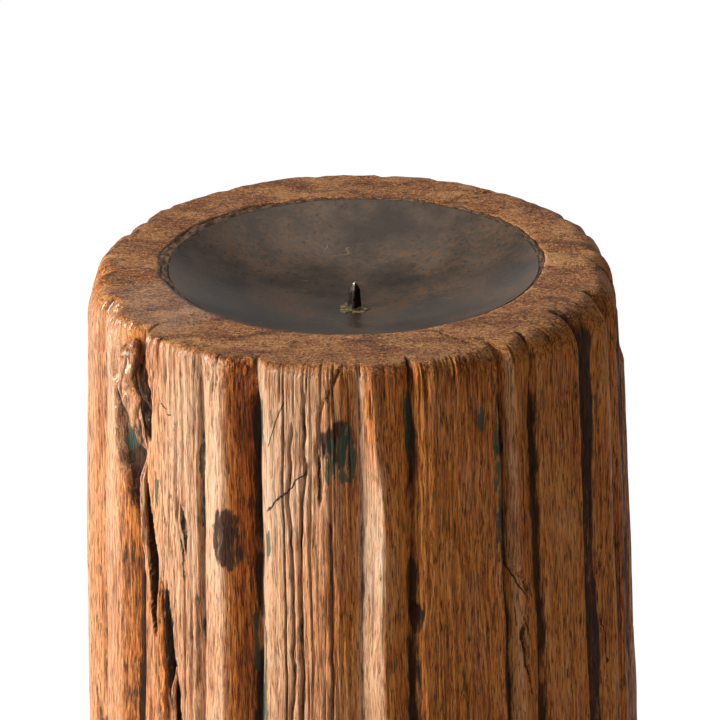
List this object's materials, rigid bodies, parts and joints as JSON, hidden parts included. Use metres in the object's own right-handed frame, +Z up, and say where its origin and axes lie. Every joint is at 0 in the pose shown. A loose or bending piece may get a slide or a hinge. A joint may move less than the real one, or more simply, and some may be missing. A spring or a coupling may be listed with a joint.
{
  "type": "wooden candlestick",
  "caption": "Thick candlestick cut from an old reeded wooden column, with a shallow metal dish let into its top and a short spike that holds a pillar candle.",
  "frame": {"origin": "centre of the foot, on the face it stands on", "axes": "+Z up along the column's axis; -Y is the front, the side the description starts from; +X is to the right of it"},
  "size_m": [0.181, 0.1809, 0.28],
  "materials": {
    "old_wood": "old reddish-brown hardwood, cracked and worn, waxed to a satin gloss, dirt and traces of green paint in its grooves",
    "dark_metal": "thin sheet metal with a brown-black patina, orange-brown speckles and brassy scratches",
    "forged_iron": "dark forged iron, worn bright at the tip",
    "braze": "dull yellow braze, uneven",
    "putty": "dry grey-brown filler, rough and crumbled"
  },
  "bodies": {
    "root": {"column": "old_wood", "candle_dish": "dark_metal", "spike": "forged_iron", "braze_ring": "braze", "bedding_putty": "putty"}
  },
  "joints": []
}
